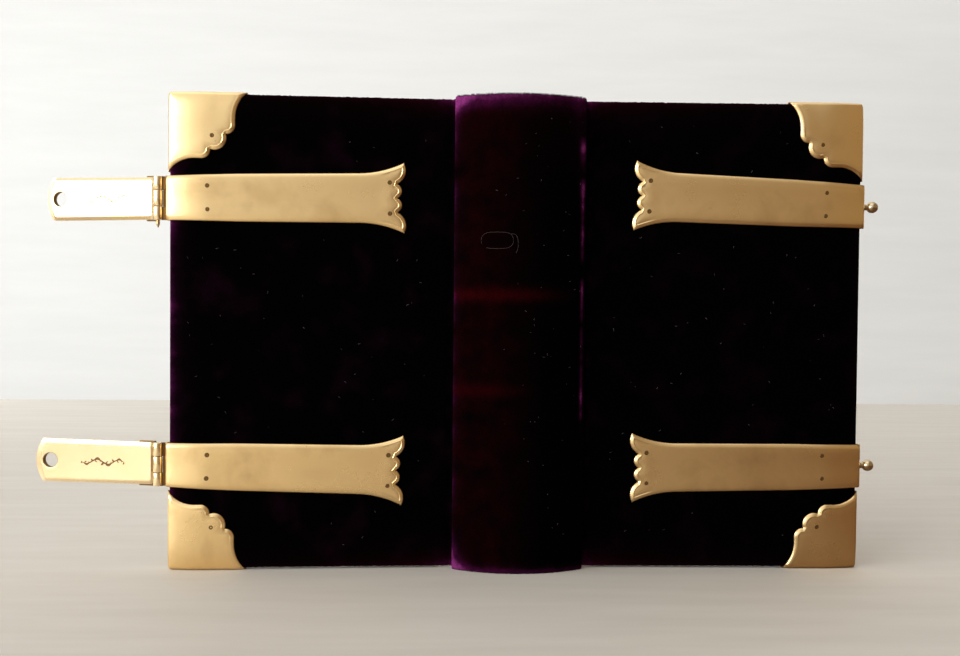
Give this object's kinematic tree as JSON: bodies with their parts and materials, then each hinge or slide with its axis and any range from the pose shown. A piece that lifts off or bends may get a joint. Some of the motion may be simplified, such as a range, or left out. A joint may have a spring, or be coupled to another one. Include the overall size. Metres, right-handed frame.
{
  "type": "prayer book",
  "caption": "Small thick prayer book bound in dark purple velvet, with gilt brass corner pieces and fold-over hinged clasps that hook on studs, standing open.",
  "frame": {"origin": "middle of the spine's tail edge, on the surface that the book stands on", "axes": "+X towards the front cover's fore edge, +Y from the spine towards the pages, +Z towards the head"},
  "size_m": [0.2396, 0.0823, 0.132],
  "materials": {
    "velvet": "deep purple silk velvet, worn to a brighter purple at the edges",
    "binders_board": "grey-brown pasteboard",
    "linen": "unbleached linen",
    "silk": "sewn silk, red and cream",
    "page_paper": "rag paper with gilt edges",
    "endpaper": "matte cream endpaper",
    "gilt_brass": "satin gilt, lightly tarnished",
    "pin_brass": "polished brass"
  },
  "bodies": {
    "text_block": {"spine_velvet": "velvet", "spine_liner": "binders_board", "spine_lining": "linen", "sewing_tapes": "linen", "head_band": "silk", "tail_band": "silk", "gathering_01": "page_paper", "gathering_02": "page_paper", "gathering_03": "page_paper", "gathering_04": "page_paper", "gathering_05": "page_paper", "gathering_06": "page_paper", "gathering_07": "page_paper", "gathering_08": "page_paper", "gathering_09": "page_paper", "gathering_10": "page_paper", "gathering_11": "page_paper", "gathering_12": "page_paper", "gathering_13": "page_paper"},
    "back_cover": {"back_board": "binders_board", "back_velvet": "velvet", "back_pastedown": "endpaper", "back_head_corner": "gilt_brass", "back_tail_corner": "gilt_brass", "upper_clasp_strap": "gilt_brass", "lower_clasp_strap": "gilt_brass", "upper_hinge_pin": "pin_brass", "lower_hinge_pin": "pin_brass", "back_cover_nails": "pin_brass"},
    "front_cover": {"front_board": "binders_board", "front_velvet": "velvet", "front_pastedown": "endpaper", "front_head_corner": "gilt_brass", "front_tail_corner": "gilt_brass", "upper_catch_strap": "gilt_brass", "lower_catch_strap": "gilt_brass", "upper_catch_stud": "pin_brass", "lower_catch_stud": "pin_brass", "front_cover_nails": "pin_brass"},
    "upper_clasp": {"upper_clasp_leaf": "gilt_brass"},
    "lower_clasp": {"lower_clasp_leaf": "gilt_brass"},
    "back_flyleaf": {"back_flyleaf": "endpaper"},
    "front_flyleaf": {"front_flyleaf": "endpaper"},
    "last_leaf": {"last_leaf": "page_paper"},
    "first_leaf": {"first_leaf": "page_paper"}
  },
  "joints": [
    {"name": "back_cover_hinge", "type": "hinge", "parent": "text_block", "child": "back_cover", "pos_m": [-0.0194, 0.0078, 0.066], "axis": [0, 0, -1], "range_deg": [-35, 92.5]},
    {"name": "front_cover_hinge", "type": "hinge", "parent": "text_block", "child": "front_cover", "pos_m": [0.0194, 0.0078, 0.066], "axis": [0, 0, 1], "range_deg": [-35, 91]},
    {"name": "upper_clasp_hinge", "type": "hinge", "parent": "back_cover", "child": "upper_clasp", "pos_m": [-0.1, 0.00608, 0.1028], "axis": [0, 0, -1], "range_deg": [-101.5, 63.5]},
    {"name": "lower_clasp_hinge", "type": "hinge", "parent": "back_cover", "child": "lower_clasp", "pos_m": [-0.1, 0.00608, 0.0292], "axis": [0, 0, -1], "range_deg": [-94.5, 70.5]},
    {"name": "back_flyleaf_fold", "type": "hinge", "parent": "text_block", "child": "back_flyleaf", "pos_m": [-0.01575, 0.0075, 0.066], "axis": [0, 0, -1], "range_deg": [-11.4, 30.05]},
    {"name": "front_flyleaf_fold", "type": "hinge", "parent": "text_block", "child": "front_flyleaf", "pos_m": [0.01575, 0.0075, 0.066], "axis": [0, 0, 1], "range_deg": [-11.59, 30.05]},
    {"name": "last_leaf_fold", "type": "hinge", "parent": "text_block", "child": "last_leaf", "pos_m": [-0.01525, 0.0075, 0.066], "axis": [0, 0, -1], "range_deg": [-4.21, 11.05]},
    {"name": "first_leaf_fold", "type": "hinge", "parent": "text_block", "child": "first_leaf", "pos_m": [0.01525, 0.0075, 0.066], "axis": [0, 0, 1], "range_deg": [-4.28, 11.05]}
  ],
  "couplings": [
    {"joint": "back_flyleaf_fold", "follows": "back_cover_hinge", "ratio": 0.32432},
    {"joint": "front_flyleaf_fold", "follows": "front_cover_hinge", "ratio": 0.32967},
    {"joint": "last_leaf_fold", "follows": "back_cover_hinge", "ratio": 0.11892},
    {"joint": "first_leaf_fold", "follows": "front_cover_hinge", "ratio": 0.12088}
  ]
}
